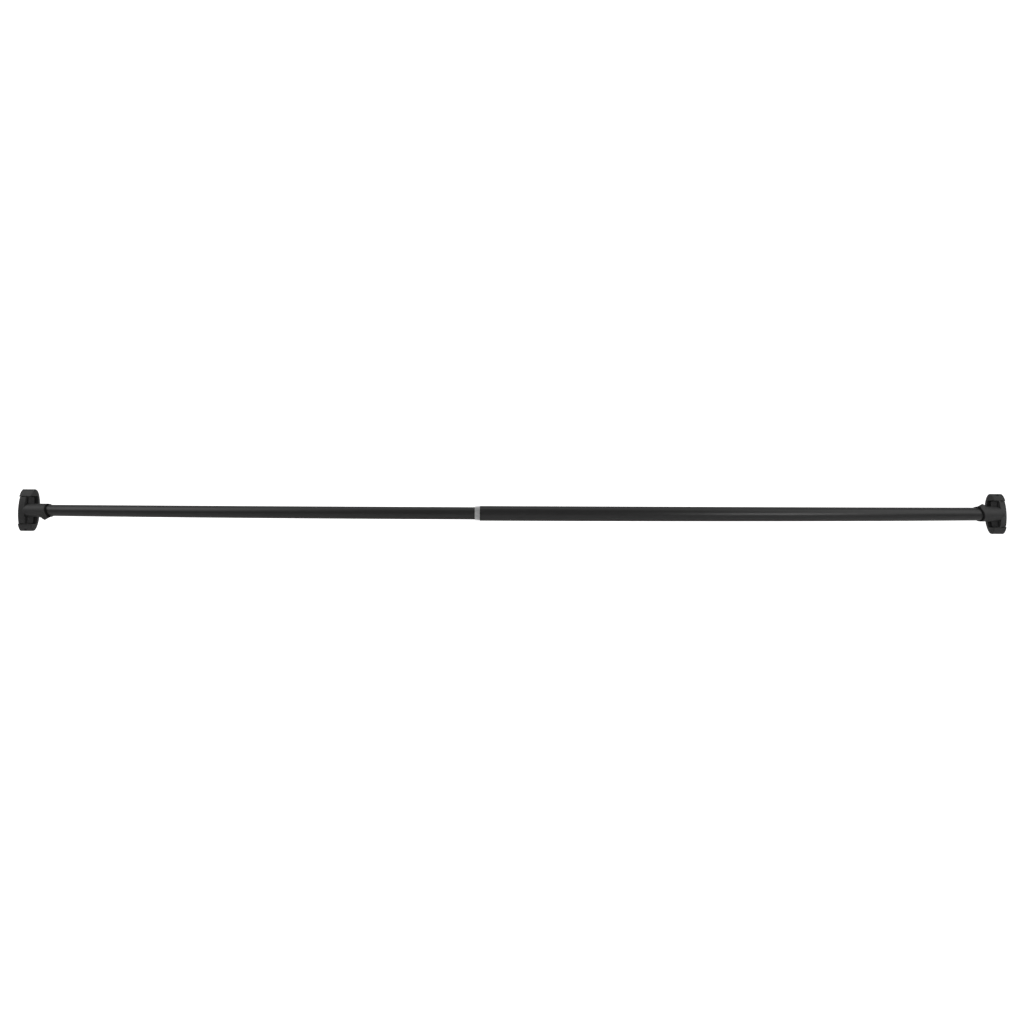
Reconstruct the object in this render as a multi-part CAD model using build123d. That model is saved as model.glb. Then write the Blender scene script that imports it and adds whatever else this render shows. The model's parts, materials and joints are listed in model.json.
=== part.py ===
from build123d import *
from math import asin, atan, cos, degrees, hypot, radians, sin
import os

# Telescoping curved shower rod with a swivelling bracket at each end.
# Lengths are in millimetres and angles in degrees.
# X runs from the left wall to the right wall, the bow stands out towards -Y, and Z is up.
# The origin is the middle of the left bracket's back, on the wall.

# Rod, drawn out to its full length
span = 1828.8
bend_radius = 2100.0
outer_tube_od = 24.0
outer_tube_wall = 1.0
inner_tube_od = 20.0
inner_tube_wall = 1.0
joint_offset = 79.0
tube_overlap = 143.0

# Clearances: all round, and between flat faces
slide_clearance = 0.25
fit_clearance = 0.05
socket_clearance = 0.2
face_clearance = 0.05

# Frosted collar in the mouth of the outer tube
collar_od = 23.4
collar_flange = 8.0
collar_sleeve = 30.0
collar_rounding = 0.6

# Glide on the hidden end of the inner tube
glide_flange = 8.0
glide_spigot = 20.0
glide_wall = 2.5

# Yoke on the wall: an upright oval drawn out from the wall
yoke_height = 76.0
yoke_width = 37.0
yoke_depth = 23.0
yoke_rounding = 2.6
yoke_web = 1.5
yoke_far_wall = 9.0
yoke_end_wall = 5.0
yoke_pocket_corner = 3.5

# Swivel arm, measured from its pin along the socket
arm_height = 48.0
arm_oval_height = 68.0
arm_far = 10.5
arm_front = 6.0
arm_recess = 1.5
arm_recess_edge = 2.5
arm_back = 7.0
arm_corner = 2.0
arm_far_rounding = 8.0
arm_outline_corner = 3.5
arm_back_gap = 0.35
arm_swing_out = 5.0
skin_thickness = 2.2
skin_start = 1.5
skin_end = 12.3
skin_room = 1.2
skin_corner = 0.5
socket_mouth = 56.5
socket_wall = 1.8
mouth_slant = 18.0
tube_seat = 23.0

# Chin under the socket's mouth, which holds the tube's set screw
chin_start = 38.0
chin_peak = 55.0
chin_end = 65.0
chin_rise = 6.6
chin_tip = 2.4
chin_lean = 24.0
chin_merge = 0.5

# Rubber ring at the socket's mouth
ring_flange = 3.2
ring_spigot = 7.0
ring_spigot_wall = 0.9
ring_step = 0.3
ring_rounding = 0.8

# Pin and washers
pin_radius = 2.5
pin_offset = 6.0
pin_grip = 5.5
pin_recess = 0.3
washer_radius = 6.5
washer_thickness = 1.4

# Set screws
tube_screw_radius = 2.5
tube_screw_length = 4.0
tube_screw_setback = 11.0
lock_screw_radius = 2.0
lock_screw_length = 4.0
lock_screw_height = 7.0
screw_key = 0.5
screw_key_depth = 0.5
screw_point = 0.3

# Wall plate inside the yoke
plate_thickness = 1.6
plate_inset = 2.4
plate_hole_radius = 2.25
plate_hole_spacing = 58.0
plate_tab_height = 10.5
plate_tab_width = 12.0
plate_tab_skin = 1.1
screw_head_radius = 4.5
screw_head_room = 4.6

# Where things meet
outer_tube_bore = outer_tube_od / 2 - outer_tube_wall
inner_tube_bore = inner_tube_od / 2 - inner_tube_wall
recess_depth = plate_thickness + 4 * face_clearance
web_front = recess_depth + yoke_web
pivot_x = web_front + arm_back_gap + arm_back
pivot_y = -pin_offset
pocket_half_height = arm_height / 2 + washer_thickness + 2 * face_clearance
pin_top = pocket_half_height + pin_grip
far_wall = yoke_width / 2 - yoke_far_wall
tab_pocket_start = far_wall + plate_tab_skin
tab_start = tab_pocket_start + socket_clearance
tab_end = tab_start + plate_thickness
ring_end = socket_mouth + ring_flange

# The socket is straight, so the bent tube touches its line half way along
socket_middle = (tube_seat + ring_end) / 2
reach = (span / 2 - pivot_x) / hypot(bend_radius, socket_middle)
end_slope = degrees(asin(reach) - atan(socket_middle / bend_radius))
arc_centre_y = pivot_y - socket_middle * sin(radians(end_slope)) + bend_radius * cos(radians(end_slope))
arc_axis = Axis((span / 2, arc_centre_y, 0), (0, 0, 1))
arm_place = Pos(pivot_x, pivot_y, 0) * Rot(0, 0, -end_slope)
half_turn = Axis((span / 2, 0, 0), (0, 1, 0))


def turn_for(length):
    """Angle that a length takes up along the rod's arc."""
    return degrees(length / bend_radius)


tube_end = end_slope + turn_for(socket_middle - tube_seat)
outer_mouth = -turn_for(joint_offset)
inner_tip = outer_mouth + turn_for(tube_overlap)


def annulus(outer, inner):
    """Ring-shaped cross-section."""
    return Circle(outer) - Circle(inner)


def bent(section, start, end):
    """Sweep a cross-section along the rod's arc, between two angles from mid-span."""
    angle = radians(start)
    outwards = (sin(angle), -cos(angle), 0)
    centre = arc_axis.position + bend_radius * Vector(*outwards)
    plane = Plane(origin=centre, x_dir=outwards, z_dir=(cos(angle), sin(angle), 0))
    return revolve(plane * section, arc_axis, end - start)


def rod_x(radius, start, end):
    """Round bar along X between two places."""
    return extrude(Plane.YZ.offset(start) * Circle(radius), end - start)


def block(low, high):
    """Box between two corners."""
    size = [b - a for a, b in zip(low, high)]
    middle = [(a + b) / 2 for a, b in zip(low, high)]
    return Pos(*middle) * Box(*size)


def upright(radius, length):
    """Round bar along Z, standing on the origin."""
    return Cylinder(radius, length, align=(Align.CENTER, Align.CENTER, Align.MIN))


def outer_tube():
    """Thicker tube, from the right socket to its open mouth."""
    return bent(annulus(outer_tube_od / 2, outer_tube_bore), outer_mouth, tube_end)


def inner_tube():
    """Thinner tube, from the left socket to its end inside the outer tube."""
    return bent(annulus(inner_tube_od / 2, inner_tube_bore), -tube_end, inner_tip)


def joint_collar():
    """Collar on the outer tube's mouth, with a sleeve that guides the inner tube."""
    inside = inner_tube_od / 2 + slide_clearance
    flange = bent(annulus(collar_od / 2, inside), outer_mouth - turn_for(collar_flange), outer_mouth)
    rim = flange.edges().filter_by(GeomType.CIRCLE).sort_by(SortBy.LENGTH)[-2:].sort_by(Axis.X)[0]
    flange = fillet(rim, collar_rounding)
    sleeve_od = outer_tube_bore - fit_clearance
    return flange + bent(annulus(sleeve_od, inside), outer_mouth, outer_mouth + turn_for(collar_sleeve))


def inner_glide():
    """Plug in the inner tube's hidden end, with a flange that rides in the outer tube."""
    inside = inner_tube_bore - glide_wall
    spigot = annulus(inner_tube_bore - fit_clearance, inside)
    flange = annulus(outer_tube_bore - slide_clearance, inside)
    plug = bent(spigot, inner_tip - turn_for(glide_spigot), inner_tip)
    return plug + bent(flange, inner_tip, inner_tip + turn_for(glide_flange))


def oval(inset):
    """The yoke's upright oval outline, drawn in by an inset."""
    return Plane.YZ * Ellipse(yoke_width / 2 - inset, yoke_height / 2 - inset)


def yoke_opening():
    """Room for the arm, seen from the front: open on the near side and oval on the far side."""
    height = 2 * pocket_half_height
    near = Pos(-yoke_width / 2, 0) * Rectangle(yoke_width, height)
    far = Ellipse(far_wall, yoke_height / 2 - yoke_end_wall) & Rectangle(yoke_width, height)
    opening = near + far
    corners = opening.vertices().filter_by(lambda v: v.X > 0 and abs(v.Y) > height / 4)
    return fillet(corners, yoke_pocket_corner)


def yoke():
    """Moulded frame with an ear above and below, a wall on the far side and an open near side."""
    body = extrude(oval(0), yoke_depth)
    body = fillet(body.faces().sort_by(Axis.X)[-1].edges(), yoke_rounding)
    body -= extrude(Plane.YZ.offset(web_front) * yoke_opening(), yoke_depth)
    body -= extrude(oval(plate_inset - socket_clearance), recess_depth)
    for side in (-1, 1):
        head = rod_x(screw_head_radius, 0, recess_depth + screw_head_room)
        body -= Pos(0, 0, side * plate_hole_spacing / 2) * head
    body -= skin_space()
    tab_room = plate_tab_width / 2 + socket_clearance
    body -= block(
        (0, tab_pocket_start, -tab_room),
        (plate_tab_height + socket_clearance, tab_end + socket_clearance, tab_room),
    )
    lock_hole = upright(lock_screw_radius + fit_clearance, yoke_width)
    body -= Pos(lock_screw_height, tab_end, 0) * Rot(-90, 0, 0) * lock_hole
    pin_hole = upright(pin_radius, yoke_height / 2 + pin_top + face_clearance)
    return body - Pos(pivot_x, pivot_y, -yoke_height / 2) * pin_hole


def pivot_pin():
    """Upright pin, pressed into both ears from below and ground to the curve of the lower one."""
    pin = Pos(pivot_x, pivot_y, -yoke_height / 2) * upright(pin_radius, yoke_height / 2 + pin_top)
    return pin & extrude(oval(pin_recess), yoke_depth)


def pivot_washers():
    """The two washers between the arm and the ears."""
    washer = extrude(annulus(washer_radius, pin_radius + fit_clearance), washer_thickness)
    upper = Pos(pivot_x, pivot_y, arm_height / 2 + face_clearance) * washer
    lower = Pos(pivot_x, pivot_y, -arm_height / 2 - face_clearance - washer_thickness) * washer
    return Compound(children=[upper.solid(), lower.solid()])


def wall_plate():
    """Pressed plate on the wall, with two screw holes and a tab for the lock screw."""
    plate = extrude(oval(plate_inset), plate_thickness)
    for side in (-1, 1):
        plate -= Pos(0, 0, side * plate_hole_spacing / 2) * rod_x(plate_hole_radius, 0, plate_thickness)
    plate -= skin_space()
    tab_half = plate_tab_width / 2
    plate -= block((0, tab_end, -tab_half), (plate_thickness, yoke_width, tab_half))
    return plate + block((0, tab_start, -tab_half), (plate_tab_height, tab_end, tab_half))


def set_screw(radius, length):
    """Grub screw along Z, with its point at the origin and a hexagon socket in its other end."""
    screw = upright(radius, length)
    screw = chamfer(screw.faces().sort_by(Axis.Z)[0].edges(), screw_point * radius)
    key = RegularPolygon(screw_key * radius, 6, major_radius=False)
    return screw - Pos(0, 0, length) * extrude(key, -screw_key_depth * length)


def lock_screw():
    """Set screw through the yoke's far wall, against the wall plate's tab."""
    screw = set_screw(lock_screw_radius, lock_screw_length)
    return Pos(lock_screw_height, tab_end + face_clearance, 0) * Rot(-90, 0, 0) * screw


def near_slab(half_height):
    """The space on the near side of the pin, up to a height above and below the middle."""
    return block((0, -yoke_width, -half_height), (yoke_depth, pivot_y, half_height))


def skin_space():
    """Room in web and wall plate for the arm's skin to swing in."""
    rim = extrude(oval(0) - oval(skin_thickness + skin_room), web_front)
    return rim & near_slab(arm_height / 2 + arm_back_gap)


def arm_skin():
    """Thin front wall of the arm, in line with the yoke's oval."""
    depth = skin_end - skin_start
    skin = extrude(oval(0), depth)
    skin = fillet(skin.faces().sort_by(Axis.X)[-1].edges(), skin_corner)
    skin -= extrude(oval(skin_thickness), depth)
    return Pos(skin_start, 0, 0) * skin & near_slab(arm_height / 2)


def arm_plan():
    """The hub's outline from above, with a back that clears the web while the arm swings."""
    turn = radians(end_slope + arm_swing_out)
    near_tip = (arm_recess, -(arm_recess * cos(turn) + arm_back) / sin(turn))
    near_tangent = (-arm_back * cos(turn), -arm_back * sin(turn))
    arc_middle = (-arm_back * cos(turn / 2), -arm_back * sin(turn / 2))
    far_back = (-arm_back, arm_far)
    far_front = (arm_front, arm_far)
    sides = [
        Line(near_tip, near_tangent),
        ThreePointArc(near_tangent, arc_middle, (-arm_back, 0)),
        Line((-arm_back, 0), far_back),
        Line(far_back, far_front),
        Line(far_front, (arm_front, -arm_recess_edge)),
        Line((arm_front, -arm_recess_edge), (arm_recess, -arm_recess_edge)),
        Line((arm_recess, -arm_recess_edge), near_tip),
    ]
    plan = make_face(sides)
    plan = fillet(plan.vertices().sort_by_distance(far_back)[0], arm_far_rounding)
    return fillet(plan.vertices().sort_by_distance(far_front)[0], arm_corner)


def arm_block():
    """The arm's body: a hub round the pin, and a front skin that fills the gap in the yoke's oval."""
    outline = Pos(-yoke_width / 2, 0) * Rectangle(yoke_width, arm_height)
    outline += Ellipse(arm_far + arm_corner, arm_oval_height / 2) & Rectangle(yoke_width, arm_height)
    corners = outline.vertices().filter_by(lambda v: v.X > 0 and abs(v.Y) > arm_height / 4)
    outline = fillet(corners, arm_outline_corner)
    hub = extrude(Plane.YZ * outline, yoke_width, both=True)
    hub &= extrude(arm_plan(), arm_height, both=True)
    hub &= arm_place.inverse() * extrude(oval(skin_thickness / 2), 2 * yoke_depth)
    return hub + arm_place.inverse() * arm_skin()


def chin_direction():
    """Direction in which the chin points: down, and a little towards the bow."""
    return Vector(0, -sin(radians(chin_lean)), -cos(radians(chin_lean)))


def chin_section(barrel, place, peak):
    """Cross-section of socket and chin, as one drop-shaped outline."""
    out = chin_direction() * (peak - chin_tip)
    tip = Pos(out.Y, out.Z) * Circle(chin_tip)
    return Plane.YZ.offset(place) * make_hull([Circle(barrel - chin_merge).edge(), tip.edge()])


def mouth_plane(distance):
    """Plane along the socket's slanted mouth, at a distance in front of it."""
    slant = radians(mouth_slant)
    facing = Vector(cos(slant), 0, 0) - chin_direction() * sin(slant)
    across = Vector(sin(slant), 0, 0) + chin_direction() * cos(slant)
    return Plane(origin=(socket_mouth + distance, 0, 0), x_dir=across, z_dir=facing)


def beyond_mouth(distance):
    """Everything in front of the slanted mouth, from a distance on."""
    size = 2 * socket_mouth
    return mouth_plane(distance) * Box(size, size, size, align=(Align.CENTER, Align.CENTER, Align.MIN))


def barrel_radius(tube_od):
    """Outside radius of the socket for a tube."""
    return tube_od / 2 + socket_clearance + socket_wall


def ring_spigot_radius(tube_od):
    """Outside radius of the trim ring's spigot for a tube."""
    return tube_od / 2 + socket_clearance + ring_spigot_wall


def swivel_arm(tube_od):
    """Moulded arm with the socket for a tube."""
    barrel = barrel_radius(tube_od)
    low = barrel + chin_merge
    back = chin_section(barrel, chin_start, low)
    peak = chin_section(barrel, chin_peak, barrel + chin_rise)
    front = chin_section(barrel, chin_end, low)
    socket = rod_x(barrel, 0, 2 * socket_mouth) + loft([back, peak], ruled=True) + loft([peak, front], ruled=True)
    body = arm_block() + (socket - beyond_mouth(0))
    body -= rod_x(tube_od / 2 + socket_clearance, tube_seat - socket_clearance, 2 * socket_mouth)
    spigot_bore = ring_spigot_radius(tube_od) + fit_clearance
    body -= rod_x(spigot_bore, socket_mouth - ring_spigot - face_clearance, 2 * socket_mouth)
    body -= Cylinder(pin_radius + fit_clearance, arm_height)
    screw_hole = upright(tube_screw_radius + fit_clearance, barrel + chin_rise)
    return body - screw_plane(0) * screw_hole


def screw_plane(height):
    """Plane across the tube screw's line, at a distance from the tube's middle."""
    centre = Vector(socket_mouth - tube_screw_setback, 0, 0) + chin_direction() * height
    return Plane(origin=centre, x_dir=(1, 0, 0), z_dir=chin_direction())


def tube_screw(tube_od):
    """Set screw in the chin, with its point on the tube."""
    return screw_plane(tube_od / 2 + fit_clearance) * set_screw(tube_screw_radius, tube_screw_length)


def tube_ring(tube_od):
    """Rubber ring round the tube: a spigot in the socket and a rounded flange in front of the slanted mouth."""
    far_end = 2 * socket_mouth
    flange = rod_x(barrel_radius(tube_od) - ring_step, 0, far_end) & beyond_mouth(face_clearance)
    flange -= beyond_mouth(ring_flange)
    flange = fillet(flange.faces().sort_by(Axis.X)[-1].edges(), ring_rounding)
    spigot = rod_x(ring_spigot_radius(tube_od), socket_mouth - ring_spigot, far_end)
    spigot -= beyond_mouth(ring_flange / 2)
    return flange + spigot - rod_x(tube_od / 2 + socket_clearance, 0, far_end)


def bracket(tube_od):
    """All the pieces of the left bracket, for a tube, where they stand on the wall."""
    return {
        "yoke": yoke(),
        "wall_plate": wall_plate(),
        "lock_screw": lock_screw(),
        "pivot_pin": pivot_pin(),
        "pivot_washers": pivot_washers(),
        "swivel_arm": arm_place * swivel_arm(tube_od),
        "tube_ring": arm_place * tube_ring(tube_od),
        "tube_screw": arm_place * tube_screw(tube_od),
    }


pieces = {
    "outer_tube": outer_tube(),
    "inner_tube": inner_tube(),
    "joint_collar": joint_collar(),
    "inner_glide": inner_glide(),
}
for name, piece in bracket(inner_tube_od).items():
    pieces["left_" + name] = piece
for name, piece in bracket(outer_tube_od).items():
    pieces["right_" + name] = piece.rotate(half_turn, 180)

os.makedirs("parts", exist_ok=True)
for name, piece in pieces.items():
    export_step(piece, f"parts/{name}.step")
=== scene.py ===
"""Dresses the curved shower rod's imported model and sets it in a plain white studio."""

import json
import logging
import math
from dataclasses import dataclass
from enum import Enum
from typing import Any, Callable, ClassVar

import bpy
from mathutils import Matrix, Vector


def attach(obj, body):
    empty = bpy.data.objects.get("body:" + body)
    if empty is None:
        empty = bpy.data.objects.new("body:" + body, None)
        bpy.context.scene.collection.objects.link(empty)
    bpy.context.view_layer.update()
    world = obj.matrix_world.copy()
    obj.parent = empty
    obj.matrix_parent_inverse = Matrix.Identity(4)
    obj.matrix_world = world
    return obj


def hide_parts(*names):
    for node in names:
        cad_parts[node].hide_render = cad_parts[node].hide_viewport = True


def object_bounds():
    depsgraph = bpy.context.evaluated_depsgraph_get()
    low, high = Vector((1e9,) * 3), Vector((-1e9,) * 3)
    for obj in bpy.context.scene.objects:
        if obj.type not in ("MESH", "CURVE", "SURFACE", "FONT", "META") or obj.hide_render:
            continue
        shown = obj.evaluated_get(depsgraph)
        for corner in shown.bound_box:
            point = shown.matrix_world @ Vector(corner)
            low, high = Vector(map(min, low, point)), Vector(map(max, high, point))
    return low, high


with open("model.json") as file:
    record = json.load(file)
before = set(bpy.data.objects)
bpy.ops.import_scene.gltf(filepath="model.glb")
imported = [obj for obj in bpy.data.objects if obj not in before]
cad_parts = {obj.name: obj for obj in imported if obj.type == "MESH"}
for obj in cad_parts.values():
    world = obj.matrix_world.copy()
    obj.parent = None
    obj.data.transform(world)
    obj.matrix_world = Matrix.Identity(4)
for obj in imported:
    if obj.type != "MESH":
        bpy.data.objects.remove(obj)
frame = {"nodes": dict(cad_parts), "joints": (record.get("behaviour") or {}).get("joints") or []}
CAD_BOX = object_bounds()
MM = 0.001
QUARTER_TURN = math.pi / 2
FULL_TURN = 2 * math.pi
UP = (0.0, 0.0, 1.0)
WHITE = (1.0, 1.0, 1.0, 1.0)
# Places that agree to a thousandth of a millimetre count as the same.
SAME_PLACE = 0.001 * MM
# A Mix node repeats its socket names for each kind of value, so its colour sockets go by number.
MIX_COLOUR_A = 6
MIX_COLOUR_B = 7
MIX_COLOUR_OUT = 2
log = logging.getLogger("curved_rod")


def linear(colour: str) -> tuple[float, float, float, float]:
    """Turn an sRGB hex colour into linear light.

    Args:
        colour: Six hex digits with a leading hash.

    Returns:
        Red, green and blue in linear light, and full alpha.
    """
    parts = [int(colour[i:i + 2], 16) / 255 for i in (1, 3, 5)]
    return (*[v / 12.92 if v <= 0.04045 else ((v + 0.055) / 1.055) ** 2.4 for v in parts], 1.0)


def bare_tree(owner: bpy.types.Material | bpy.types.World) -> bpy.types.NodeTree:
    """Turn on the nodes of a material or a world and clear them.

    Args:
        owner: New material or world.

    Returns:
        Its empty node tree.
    """
    owner.use_nodes = True
    owner.node_tree.nodes.clear()
    return owner.node_tree


def add_node(tree: bpy.types.NodeTree, kind: str, settings: dict[str | int, Any] | None = None,
             links: dict[str | int, Any] | None = None) -> bpy.types.Node:
    """Add a shader node with its settings and its incoming links.

    Args:
        tree: Node tree that the node goes into.
        kind: Blender's name for the kind of node.
        settings: Attributes by name, or input values by name or number.
        links: Output sockets by the name or number of the input that they feed.

    Returns:
        The new node.
    """
    node = tree.nodes.new(kind)
    for key, value in (settings or {}).items():
        if isinstance(key, str) and hasattr(node, key):
            setattr(node, key, value)
        else:
            node.inputs[key].default_value = value
    for key, source in (links or {}).items():
        tree.links.new(source, node.inputs[key])
    return node


class Side(Enum):
    """End of the rod that a bracket stands at."""

    LEFT = "left"
    RIGHT = "right"


@dataclass(frozen=True)
class Finish:
    """A surface with a fine grain: two close tones, uneven gloss and a shallow relief."""

    name: str
    slot: str
    tone_low: str
    tone_high: str
    roughness: tuple[float, float]
    grain_mm: float
    relief_mm: float
    shader: tuple[tuple[str, Any], ...] = ()
    stretch: tuple[float, float, float] = (1.0, 1.0, 1.0)
    grain_detail: ClassVar[float] = 3.0
    grain_roughness: ClassVar[float] = 0.55
    grain_range: ClassVar[tuple[float, float]] = (0.3, 0.7)
    cloud_detail: ClassVar[float] = 2.0
    cloud_share: ClassVar[float] = 0.08
    made: ClassVar[dict[str, bpy.types.Material]] = {}

    def material(self) -> bpy.types.Material:
        """Build the material once and give it back each time after that.

        Returns:
            The node material.
        """
        if self.name in Finish.made:
            return Finish.made[self.name]
        material = bpy.data.materials.new(self.name)
        tree = bare_tree(material)
        place = add_node(tree, "ShaderNodeTexCoord")
        mapped = add_node(tree, "ShaderNodeMapping", {"Scale": self.stretch},
                          {"Vector": place.outputs["Object"]})
        grain = add_node(tree, "ShaderNodeTexNoise",
                         {"Scale": 1 / (self.grain_mm * MM), "Detail": self.grain_detail,
                          "Roughness": self.grain_roughness},
                         {"Vector": mapped.outputs["Vector"]})
        cloud = add_node(tree, "ShaderNodeTexNoise",
                         {"Scale": self.cloud_share / (self.grain_mm * MM), "Detail": self.cloud_detail},
                         {"Vector": mapped.outputs["Vector"]})
        tones = add_node(tree, "ShaderNodeMix",
                         {"data_type": "RGBA", MIX_COLOUR_A: linear(self.tone_low),
                          MIX_COLOUR_B: linear(self.tone_high)},
                         {"Factor": cloud.outputs["Fac"]})
        gloss = add_node(tree, "ShaderNodeMapRange",
                         {"From Min": self.grain_range[0], "From Max": self.grain_range[1],
                          "To Min": self.roughness[0], "To Max": self.roughness[1]},
                         {"Value": grain.outputs["Fac"]})
        relief = add_node(tree, "ShaderNodeBump", {"Strength": 1.0, "Distance": self.relief_mm * MM},
                          {"Height": grain.outputs["Fac"]})
        surface = add_node(tree, "ShaderNodeBsdfPrincipled", dict(self.shader),
                           {"Base Color": tones.outputs[MIX_COLOUR_OUT],
                            "Roughness": gloss.outputs["Result"],
                            "Normal": relief.outputs["Normal"]})
        add_node(tree, "ShaderNodeOutputMaterial", None, {"Surface": surface.outputs["BSDF"]})
        Finish.made[self.name] = material
        return material

    def coat(self, piece: bpy.types.Object) -> None:
        """Put the finish on a piece, in place of what it wears."""
        piece.data.materials.clear()
        piece.data.materials.append(self.material())


# The grains of all the finishes are drawn coarser than life, so that they show.
# Black powder coat on steel tube: a dry, even black with an orange-peel relief.
POWDER_COAT = Finish("powder coated steel tube", "black_tube", "#141414", "#1a1a1a", (0.32, 0.42), 1.6, 0.04)
# Black ABS from a spark-eroded mould: a matte grain, slightly greyer than the tube.
MOULDED_ABS = Finish("spark grained black ABS", "black_moulding", "#202020", "#282828", (0.46, 0.6),
                     1.2, 0.06)
# Frosted polypropylene: cloudy grey where the dark tube shows through it, and paler at its edges, where the
# light comes through it from behind.
FROSTED_PP = Finish("frosted polypropylene", "frosted_plastic", "#c6c6c6", "#d0d0d0", (0.42, 0.52), 1.5, 0.04,
                    (("Transmission Weight", 0.8), ("IOR", 1.49),
                     ("Sheen Weight", 1.0), ("Sheen Roughness", 0.6)))
# Black nylon, turned or moulded: dark, smooth and slightly waxy.
NYLON = Finish("moulded black nylon", "nylon", "#121212", "#181818", (0.4, 0.5), 1.5, 0.02, (("IOR", 1.53),))
# Black rubber, compression moulded: the deepest and dullest black on the rod. Its near-black tone is partly
# painted shade, which darkens the ring like the shaded gap between the socket's lip and the tube.
RUBBER_WITH_PAINTED_SHADE = Finish("black rubber with painted gap shade", "black_rubber", "#060606", "#0a0a0a", (0.62, 0.74),
                1.0, 0.03, (("Specular IOR Level", 0.2),))
# Zinc plate on pressed steel: a cold grey metal with faint rolling lines.
ZINC_PLATE = Finish("zinc plated steel", "plated_steel", "#a9adb2", "#bcc0c4", (0.3, 0.44), 1.0, 0.02,
                    (("Metallic", 1.0),), (1.0, 1.0, 0.12))
# Black oxide on hardened steel: a dark, slightly oily metal.
BLACK_OXIDE = Finish("black oxide steel", "black_steel", "#202022", "#2b2b2e", (0.34, 0.46), 0.8, 0.01,
                     (("Metallic", 1.0),))


def start_clean() -> None:
    """Leave edit mode and deselect everything."""
    if bpy.context.mode != "OBJECT":
        bpy.ops.object.mode_set(mode="OBJECT")
    bpy.ops.object.select_all(action="DESELECT")


def hold(piece: bpy.types.Object) -> None:
    """Select one piece alone and make it the active one.

    Args:
        piece: Piece to work on next.
    """
    start_clean()
    piece.select_set(True)
    bpy.context.view_layer.objects.active = piece


def pick(piece: bpy.types.Object, test: Callable[[Vector], bool]) -> None:
    """Select the vertices of the piece in hand by their place, and the edges and faces between them.

    Args:
        piece: Piece that is in edit mode.
        test: Says whether a place is wanted.
    """
    bpy.ops.object.mode_set(mode="OBJECT")
    mesh = piece.data
    chosen = [test(v.co) for v in mesh.vertices]
    mesh.vertices.foreach_set("select", chosen)
    mesh.edges.foreach_set("select", [all(chosen[i] for i in e.vertices) for e in mesh.edges])
    mesh.polygons.foreach_set("select", [all(chosen[i] for i in f.vertices) for f in mesh.polygons])
    bpy.ops.object.mode_set(mode="EDIT")


def settle(piece: bpy.types.Object) -> None:
    """Move a piece's place, turn and scale into its mesh."""
    hold(piece)
    bpy.ops.object.transform_apply(location=True, rotation=True, scale=True)


def tidy_shell() -> None:
    """Merge the doubled places of the shell in edit mode, point its faces outwards and leave edit mode."""
    bpy.ops.mesh.select_all(action="SELECT")
    bpy.ops.mesh.remove_doubles(threshold=SAME_PLACE)
    bpy.ops.mesh.normals_make_consistent(inside=False)
    bpy.ops.object.mode_set(mode="OBJECT")


def smooth(piece: bpy.types.Object, degrees: float) -> None:
    """Shade a piece smooth, apart from the edges that are sharper than the given angle."""
    hold(piece)
    bpy.ops.object.shade_smooth_by_angle(angle=math.radians(degrees))


def joint_place(name: str) -> Vector:
    """Place of a joint at rest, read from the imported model."""
    return Vector(next(joint["pos_m"] for joint in frame["joints"] if joint["name"] == name))


def hand_over(piece: bpy.types.Object, finish: Finish, body: str, node: str) -> None:
    """Coat a new piece, hang it on its body and put it in the place of its solid.

    Args:
        piece: Finished piece.
        finish: Surface that it wears.
        body: Body that it moves with.
        node: Solid that it stands for.
    """
    finish.coat(piece)
    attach(piece, body)
    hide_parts(node)
    log.info("%s on %s", piece.name, body)


@dataclass
class RodBend:
    """The common bend of both tubes, in metres and radians."""

    radius: float = 2100 * MM

    @property
    def centre(self) -> Vector:
        """Centre of the bend, which the tubes slide about."""
        return joint_place("telescope")

    def place(self, angle: float) -> Matrix:
        """Find the cross-section of the rod at an angle from mid-span.

        Args:
            angle: Angle about the centre of the bend, positive to the right.

        Returns:
            Matrix whose Z axis runs along the rod to the right and whose origin is on its centre line.
        """
        spot = self.centre + self.radius * Vector((math.sin(angle), -math.cos(angle), 0))
        along = Matrix.Rotation(angle, 4, "Z") @ Matrix.Rotation(QUARTER_TURN, 4, "Y")
        return Matrix.Translation(spot) @ along

    def angle_of(self, spot: Vector) -> float:
        """Angle from mid-span of a place near the rod."""
        away = spot - self.centre
        return math.atan2(away.x, -away.y)

    def reach(self, node: str) -> tuple[float, float]:
        """Find the angles from mid-span that a solid lies between.

        Args:
            node: Name of the solid.

        Returns:
            The lowest and the highest angle.
        """
        angles = [self.angle_of(v.co) for v in frame["nodes"][node].data.vertices]
        return min(angles), max(angles)


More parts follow.
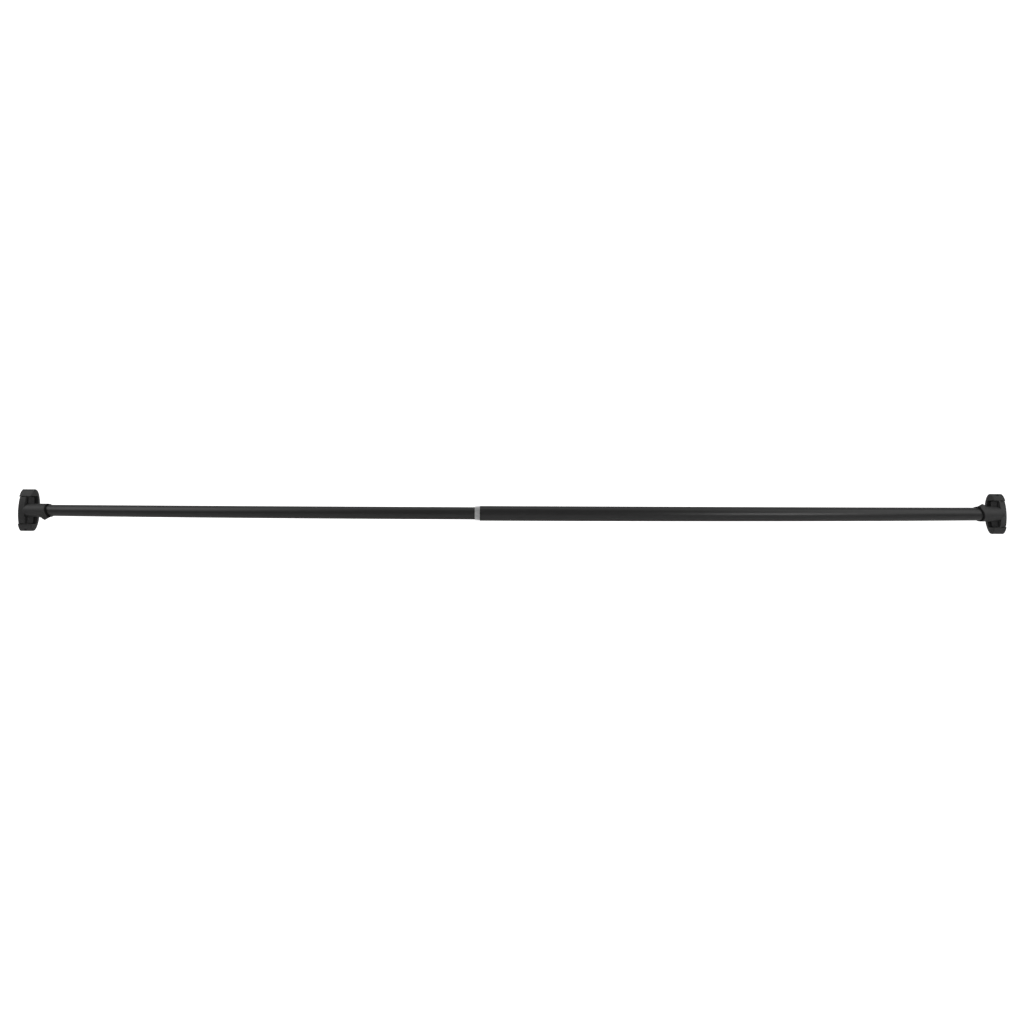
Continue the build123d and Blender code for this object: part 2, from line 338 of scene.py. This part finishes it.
@dataclass
class BentTube:
    """A round steel tube on the rod's bend, in metres and radians."""

    node: str
    body: str
    bend: RodBend
    outside_radius: float
    wall: float = 1.0 * MM
    lip: float = 0.25 * MM
    lip_steps: int = 3
    rim_steps: int = 72
    bend_steps: int = 96
    end_slack: float = 1e-5
    crease_degrees: float = 40.0

    def build(self) -> bpy.types.Object:
        """Spin a circle along the bend, give it a wall and round its lips.

        Returns:
            The finished tube.
        """
        first, last = self.bend.reach(self.node)
        start_clean()
        bpy.ops.mesh.primitive_circle_add(vertices=self.rim_steps, radius=self.outside_radius,
                                          fill_type="NOTHING")
        tube = bpy.context.object
        tube.name = f"{self.node}_smooth"
        tube.matrix_world = self.bend.place(first)
        settle(tube)
        bpy.ops.object.mode_set(mode="EDIT")
        bpy.ops.mesh.select_all(action="SELECT")
        bpy.ops.mesh.spin(steps=self.bend_steps, angle=first - last, center=self.bend.centre, axis=UP)
        tidy_shell()
        wall = tube.modifiers.new("wall", "SOLIDIFY")
        wall.thickness = self.wall
        wall.offset = -1.0
        wall.use_even_offset = True
        bpy.ops.object.modifier_apply(modifier=wall.name)
        bpy.ops.object.mode_set(mode="EDIT")
        pick(tube, lambda p: not first + self.end_slack < self.bend.angle_of(p) < last - self.end_slack)
        bpy.ops.mesh.bevel(offset=self.lip, segments=self.lip_steps, affect="EDGES")
        bpy.ops.object.mode_set(mode="OBJECT")
        smooth(tube, self.crease_degrees)
        return tube

    def dress(self) -> None:
        """Build the tube in place of its solid and coat it."""
        hand_over(self.build(), POWDER_COAT, self.body, self.node)


@dataclass
class JointCollar:
    """Frosted collar in the outer tube's mouth, in metres: a rounded flange and a sleeve inside the tube."""

    bend: RodBend
    node: str = "joint_collar"
    body: str = "right_arm"
    flange_radius: float = 11.7 * MM
    flange_length: float = 8.0 * MM
    sleeve_radius: float = 10.95 * MM
    sleeve_length: float = 30.0 * MM
    inside: float = 10.25 * MM
    rounding: float = 0.6 * MM
    rounding_steps: int = 5
    steps: int = 96
    crease_degrees: float = 35.0

    def build(self) -> bpy.types.Object:
        """Draw half the collar's section, keep its outline and spin that round the rod's line.

        Returns:
            The finished collar.
        """
        start_clean()
        bpy.ops.mesh.primitive_plane_add(size=1.0)
        collar = bpy.context.object
        collar.name = "joint_collar_frosted"
        middle = (self.inside + self.flange_radius) / 2
        width = self.flange_radius - self.inside
        collar.matrix_world = (Matrix.Translation((middle, 0, self.flange_length / 2))
                               @ Matrix.Rotation(QUARTER_TURN, 4, "X")
                               @ Matrix.Diagonal((width, self.flange_length, 1, 1)))
        settle(collar)
        bpy.ops.object.mode_set(mode="EDIT")
        bpy.ops.mesh.select_all(action="SELECT")
        bpy.ops.mesh.bisect(plane_co=(self.sleeve_radius, 0, 0), plane_no=(1, 0, 0))
        flange_end = self.flange_length - SAME_PLACE
        sleeve_side = self.sleeve_radius + SAME_PLACE
        pick(collar, lambda p: p.z > flange_end and p.x < sleeve_side)
        bpy.ops.mesh.extrude_region_move(TRANSFORM_OT_translate={"value": (0, 0, self.sleeve_length)})
        pick(collar, lambda p: p.z < SAME_PLACE and p.x > sleeve_side)
        bpy.ops.mesh.bevel(offset=self.rounding, segments=self.rounding_steps, affect="VERTICES")
        bpy.ops.mesh.select_all(action="SELECT")
        bpy.ops.mesh.dissolve_faces()
        bpy.ops.mesh.delete(type="ONLY_FACE")
        bpy.ops.mesh.select_all(action="SELECT")
        bpy.ops.mesh.spin(steps=self.steps, angle=FULL_TURN, center=(0, 0, 0), axis=UP)
        tidy_shell()
        first, _ = self.bend.reach(self.node)
        collar.matrix_world = self.bend.place(first)
        settle(collar)
        smooth(collar, self.crease_degrees)
        return collar

    def dress(self) -> None:
        """Build the collar in place of its solid and give it its frosted plastic."""
        hand_over(self.build(), FROSTED_PP, self.body, self.node)


@dataclass
class InnerGlide:
    """The hidden plug on the inner tube's end."""

    node: str = "inner_glide"

    def dress(self) -> None:
        """Give the plug its nylon."""
        NYLON.coat(frame["nodes"][self.node])
        log.info("%s dressed", self.node)


@dataclass
class EndBracket:
    """A swivelling wall bracket at one end of the rod, in metres."""

    side: Side
    bend: RodBend
    recess_floor: float = 1.5 * MM
    recess_slack: float = 0.02 * MM
    floor_lift: float = 2.0 * MM
    finishes: ClassVar[dict[str, Finish]] = {
        "yoke": MOULDED_ABS,
        # The tube ring's near-black rubber is partly painted shade for the gap at the socket's mouth.
        "tube_ring": RUBBER_WITH_PAINTED_SHADE,
        "wall_plate": ZINC_PLATE,
        "pivot_pin": BLACK_OXIDE,
        "pivot_washers": NYLON,
        "tube_screw": BLACK_OXIDE,
        "lock_screw": BLACK_OXIDE,
    }

    def named(self, piece: str) -> str:
        """Full name of a piece, body or joint of this bracket."""
        return f"{self.side.value}_{piece}"

    @property
    def pivot(self) -> Vector:
        """Place of the pin that the arm turns on."""
        return joint_place(self.named("swivel"))

    def socket_line(self) -> Vector:
        """Find the line of the arm's socket: it starts at the pin and touches the rod's bend.

        Returns:
            Unit vector from the pin towards the tube.
        """
        away = self.bend.centre - self.pivot
        slope = math.asin(self.bend.radius / away.length) - math.atan2(away.y, abs(away.x))
        return Vector((math.copysign(math.cos(slope), away.x), -math.sin(slope), 0))

    def build_arm(self) -> bpy.types.Object:
        """Copy the arm as one closed skin and bring the floor of its recess forward.

        Returns:
            The finished arm.
        """
        solid = frame["nodes"][self.named("swivel_arm")]
        hold(solid)
        bpy.ops.object.duplicate()
        arm = bpy.context.object
        arm.name = self.named("swivel_arm_moulded")
        bpy.ops.object.mode_set(mode="EDIT")
        tidy_shell()
        bpy.ops.mesh.customdata_custom_splitnormals_clear()
        bpy.ops.object.shade_smooth()
        shading = arm.modifiers.new("shading", "DATA_TRANSFER")
        shading.object = solid
        shading.use_loop_data = True
        shading.data_types_loops = {"CUSTOM_NORMAL"}
        shading.loop_mapping = "TOPOLOGY"
        bpy.ops.object.modifier_apply(modifier=shading.name)
        bpy.ops.object.mode_set(mode="EDIT")
        line = self.socket_line()
        pick(arm, lambda p: abs((p - self.pivot).dot(line) - self.recess_floor) < self.recess_slack)
        bpy.ops.transform.translate(value=line * self.floor_lift)
        bpy.ops.object.mode_set(mode="OBJECT")
        return arm

    def dress(self) -> None:
        """Give each piece its finish and build the arm in place of its solid."""
        for piece, finish in self.finishes.items():
            name = self.named(piece)
            finish.coat(frame["nodes"][name])
            log.info("%s dressed", name)
        hand_over(self.build_arm(), MOULDED_ABS, self.named("arm"), self.named("swivel_arm"))


@dataclass(frozen=True)
class Lamp:
    """A rectangular soft lamp, in metres and watts."""

    name: str
    place: tuple[float, float, float]
    aim: tuple[float, float, float]
    size: tuple[float, float]
    power: float
    mirrored: bool = True

    def hang(self) -> None:
        """Hang the lamp out of the camera's sight."""
        light = bpy.data.lights.new(self.name, "AREA")
        light.shape = "RECTANGLE"
        light.size, light.size_y = self.size
        light.energy = self.power
        holder = bpy.data.objects.new(self.name, light)
        bpy.context.scene.collection.objects.link(holder)
        holder.location = self.place
        holder.rotation_euler = (Vector(self.aim) - Vector(self.place)).to_track_quat("-Z", "Y").to_euler()
        holder.visible_camera = False
        holder.visible_glossy = self.mirrored


# Two banks draw the long highlights on the tubes, and the front fill reaches into the brackets' recesses
# without a highlight of its own.
LAMPS = (
    Lamp("overhead", (0.914, -0.2, 2.6), (0.914, 0.0, 0.0), (4.0, 1.6), 14),
    Lamp("left_bank", (-1.6, -0.8, 1.5), (0.2, 0.0, 0.0), (2.0, 2.2), 20),
    Lamp("right_bank", (3.5, -0.75, 1.3), (1.6, 0.0, 0.0), (2.0, 2.4), 12),
    Lamp("front_right", (2.6, -1.6, 0.1), (1.4, -0.15, 0.0), (0.8, 0.5), 7),
    Lamp("front_fill", (0.84, -2.4, 0.1), (0.914, 0.0, 0.0), (1.6, 0.8), 22, mirrored=False),
)


@dataclass
class Studio:
    """White paper sweep, soft lamps and the photograph's camera, in metres and degrees."""

    floor_height: float = -0.9
    sweep_back: float = 2.6
    sweep_front: float = -4.5
    sweep_half_width: float = 7.0
    sweep_top: float = 5.0
    fold_radius: float = 1.2
    fold_steps: int = 24
    fold_slack: float = 0.1 * MM
    fold_crease_degrees: float = 60.0
    paper_colour: str = "#f4f4f4"
    paper_colour_mirrored: str = "#c4c4c4"
    paper_lift_seen: float = 0.8
    paper_lift_mirrored: float = 0.08
    room_light: float = 0.24
    room_seen: float = 1.0
    camera_place: tuple[float, float, float] = (0.8358, -1.5931, 0.0183)
    camera_turn: tuple[float, float, float] = (-2.104, 5.146, -0.256)
    sensor_mm: float = 36.0
    focal_pixels: float = 850.0
    frame_pixels: float = 1024.0
    frame_drop_pixels: float = 86.4

    def paper(self) -> bpy.types.Material:
        """White seamless paper, lifted to plain white where the camera sees it, with the shadow kept.

        Returns:
            The node material.
        """
        material = bpy.data.materials.new("white seamless paper")
        tree = bare_tree(material)
        ray = add_node(tree, "ShaderNodeLightPath")
        mirrored = add_node(tree, "ShaderNodeMapRange", {"To Max": self.paper_lift_mirrored},
                            {"Value": ray.outputs["Is Glossy Ray"]})
        seen = add_node(tree, "ShaderNodeMath", {"operation": "MAXIMUM"},
                        {0: ray.outputs["Is Camera Ray"], 1: ray.outputs["Is Transmission Ray"]})
        lift = add_node(tree, "ShaderNodeMapRange", {"To Max": self.paper_lift_seen},
                        {"Value": seen.outputs["Value"], "To Min": mirrored.outputs["Result"]})
        tint = add_node(tree, "ShaderNodeMix",
                        {"data_type": "RGBA", MIX_COLOUR_A: linear(self.paper_colour),
                         MIX_COLOUR_B: linear(self.paper_colour_mirrored)},
                        {"Factor": ray.outputs["Is Glossy Ray"]})
        sheet = add_node(tree, "ShaderNodeBsdfDiffuse", None, {"Color": tint.outputs[MIX_COLOUR_OUT]})
        glow = add_node(tree, "ShaderNodeEmission", {"Color": WHITE}, {"Strength": lift.outputs["Result"]})
        both = add_node(tree, "ShaderNodeAddShader", None,
                        {0: sheet.outputs["BSDF"], 1: glow.outputs["Emission"]})
        add_node(tree, "ShaderNodeOutputMaterial", None, {"Surface": both.outputs["Shader"]})
        return material

    def sweep(self) -> None:
        """Lay the paper on the floor and up behind the rod in one sheet with a round fold."""
        start_clean()
        bpy.ops.mesh.primitive_plane_add(size=1.0)
        sheet = bpy.context.object
        sheet.name = "paper_sweep"
        depth = self.sweep_back - self.sweep_front
        middle = (CAD_BOX[1].x / 2, self.sweep_front + depth / 2, self.floor_height)
        sheet.matrix_world = (Matrix.Translation(middle)
                              @ Matrix.Diagonal((2 * self.sweep_half_width, depth, 1, 1)))
        settle(sheet)
        bpy.ops.object.mode_set(mode="EDIT")
        fold = self.sweep_back - self.fold_slack
        floor = self.floor_height + self.fold_slack
        rise = (0, 0, self.sweep_top - self.floor_height)
        pick(sheet, lambda p: p.y > fold)
        bpy.ops.mesh.extrude_region_move(TRANSFORM_OT_translate={"value": rise})
        pick(sheet, lambda p: p.y > fold and p.z < floor)
        bpy.ops.mesh.bevel(offset=self.fold_radius, segments=self.fold_steps, affect="EDGES")
        bpy.ops.object.mode_set(mode="OBJECT")
        smooth(sheet, self.fold_crease_degrees)
        sheet.data.materials.append(self.paper())

    def world(self) -> None:
        """Even white surroundings: dim as a light, plain white to the eye."""
        world = bpy.data.worlds.new("white room")
        bpy.context.scene.world = world
        tree = bare_tree(world)
        ray = add_node(tree, "ShaderNodeLightPath")
        strength = add_node(tree, "ShaderNodeMapRange", {"To Min": self.room_light, "To Max": self.room_seen},
                            {"Value": ray.outputs["Is Camera Ray"]})
        light = add_node(tree, "ShaderNodeBackground", {"Color": WHITE},
                         {"Strength": strength.outputs["Result"]})
        add_node(tree, "ShaderNodeOutputWorld", None, {"Surface": light.outputs["Background"]})

    def camera(self) -> None:
        """Stand the camera where the photograph was taken, looking up a little, with its frame dropped."""
        data = bpy.data.cameras.new("photograph")
        data.sensor_width = self.sensor_mm
        data.lens = self.focal_pixels / self.frame_pixels * self.sensor_mm
        data.shift_y = -self.frame_drop_pixels / self.frame_pixels
        camera = bpy.data.objects.new("photograph", data)
        bpy.context.scene.collection.objects.link(camera)
        yaw, pitch, roll = (math.radians(v) for v in self.camera_turn)
        camera.matrix_world = (Matrix.Translation(self.camera_place)
                               @ Matrix.Rotation(yaw, 4, "Z")
                               @ Matrix.Rotation(pitch + QUARTER_TURN, 4, "X")
                               @ Matrix.Rotation(-roll, 4, "Z"))
        bpy.context.scene.camera = camera

    def build(self) -> None:
        """Set up the whole studio."""
        bpy.context.scene.view_settings.view_transform = "Standard"
        self.sweep()
        self.world()
        for lamp in LAMPS:
            lamp.hang()
        self.camera()
        log.info("studio set up with %d lamps", len(LAMPS))


def main() -> None:
    """Build the pieces in order, dress them and set up the studio."""
    logging.basicConfig(level=logging.INFO, format="%(name)s: %(message)s")
    bend = RodBend()
    BentTube("outer_tube", "right_arm", bend, outside_radius=12.0 * MM).dress()
    BentTube("inner_tube", "left_arm", bend, outside_radius=10.0 * MM).dress()
    JointCollar(bend).dress()
    InnerGlide().dress()
    for side in Side:
        EndBracket(side, bend).dress()
    Studio().build()


if __name__ == "__main__":
    main()
